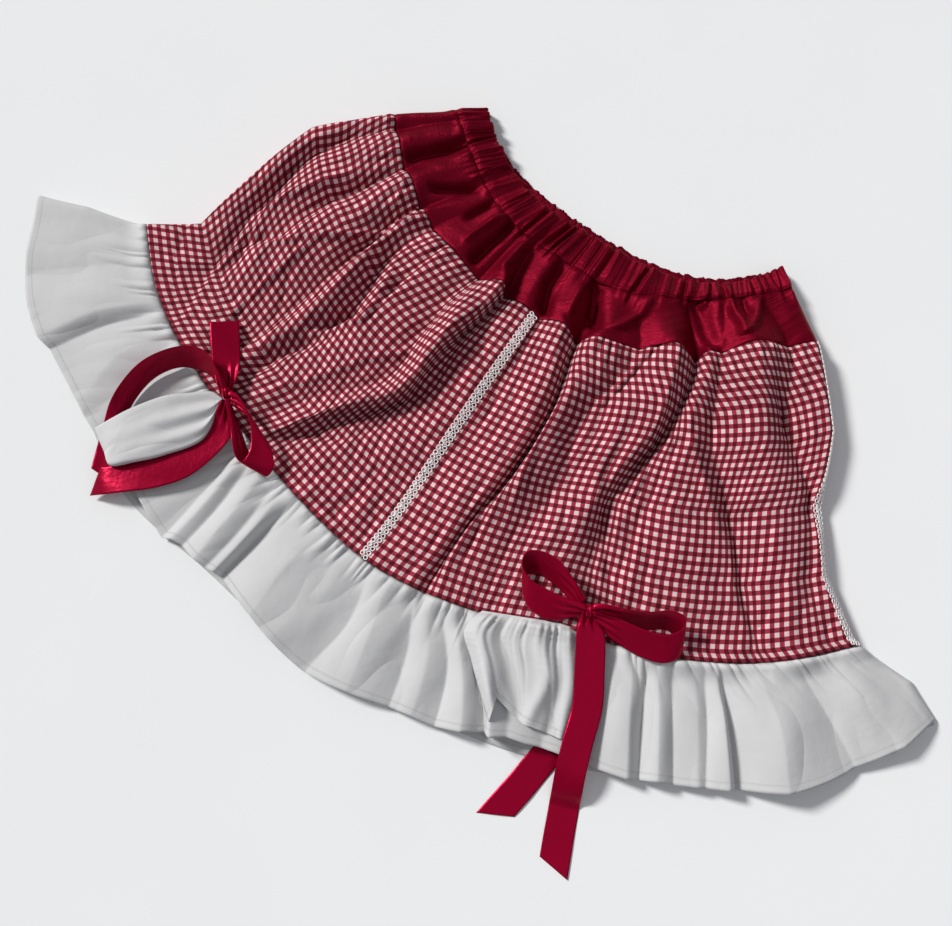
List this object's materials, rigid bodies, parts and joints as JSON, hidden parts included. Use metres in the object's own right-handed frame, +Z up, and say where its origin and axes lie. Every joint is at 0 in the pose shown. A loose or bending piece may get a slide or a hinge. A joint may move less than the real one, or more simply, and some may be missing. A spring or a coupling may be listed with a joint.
{
  "type": "lolita skirt",
  "caption": "Short gathered skirt laid flat, with an elastic waist casing, a satin yoke, a gingham body, a white hem ruffle, gimp braid and ribbon bows.",
  "frame": {"origin": "middle of the laid-out skirt's bounding box, on the surface that it lies on", "axes": "+Z up from that surface, +Y towards the waist, +X across the skirt to the side that has the side braid"},
  "size_m": [0.9318, 0.5694, 0.037],
  "materials": {
    "taffeta": "shiny dark red taffeta with a slub",
    "gingham": "matt cotton gingham, dark red and white, 4 mm checks",
    "poplin": "matt white cotton poplin",
    "satin_ribbon": "dark red satin ribbon with a bright sheen",
    "gimp": "white scroll gimp braid"
  },
  "bodies": {
    "root": {"casing_front": "taffeta", "casing_back": "taffeta", "yoke_front": "taffeta", "yoke_back": "taffeta", "gingham_front": "gingham", "gingham_back": "gingham", "ruffle_front": "poplin", "ruffle_back": "poplin", "braid_front": "gimp", "braid_side": "gimp", "bow_left_loop_long": "satin_ribbon", "bow_left_loop_back": "satin_ribbon", "bow_left_loop_short": "satin_ribbon", "bow_left_end": "satin_ribbon", "bow_left_knot": "satin_ribbon", "bow_right_loop_left": "satin_ribbon", "bow_right_loop_right": "satin_ribbon", "bow_right_end_long": "satin_ribbon", "bow_right_end_short": "satin_ribbon", "bow_right_knot": "satin_ribbon"}
  },
  "joints": []
}
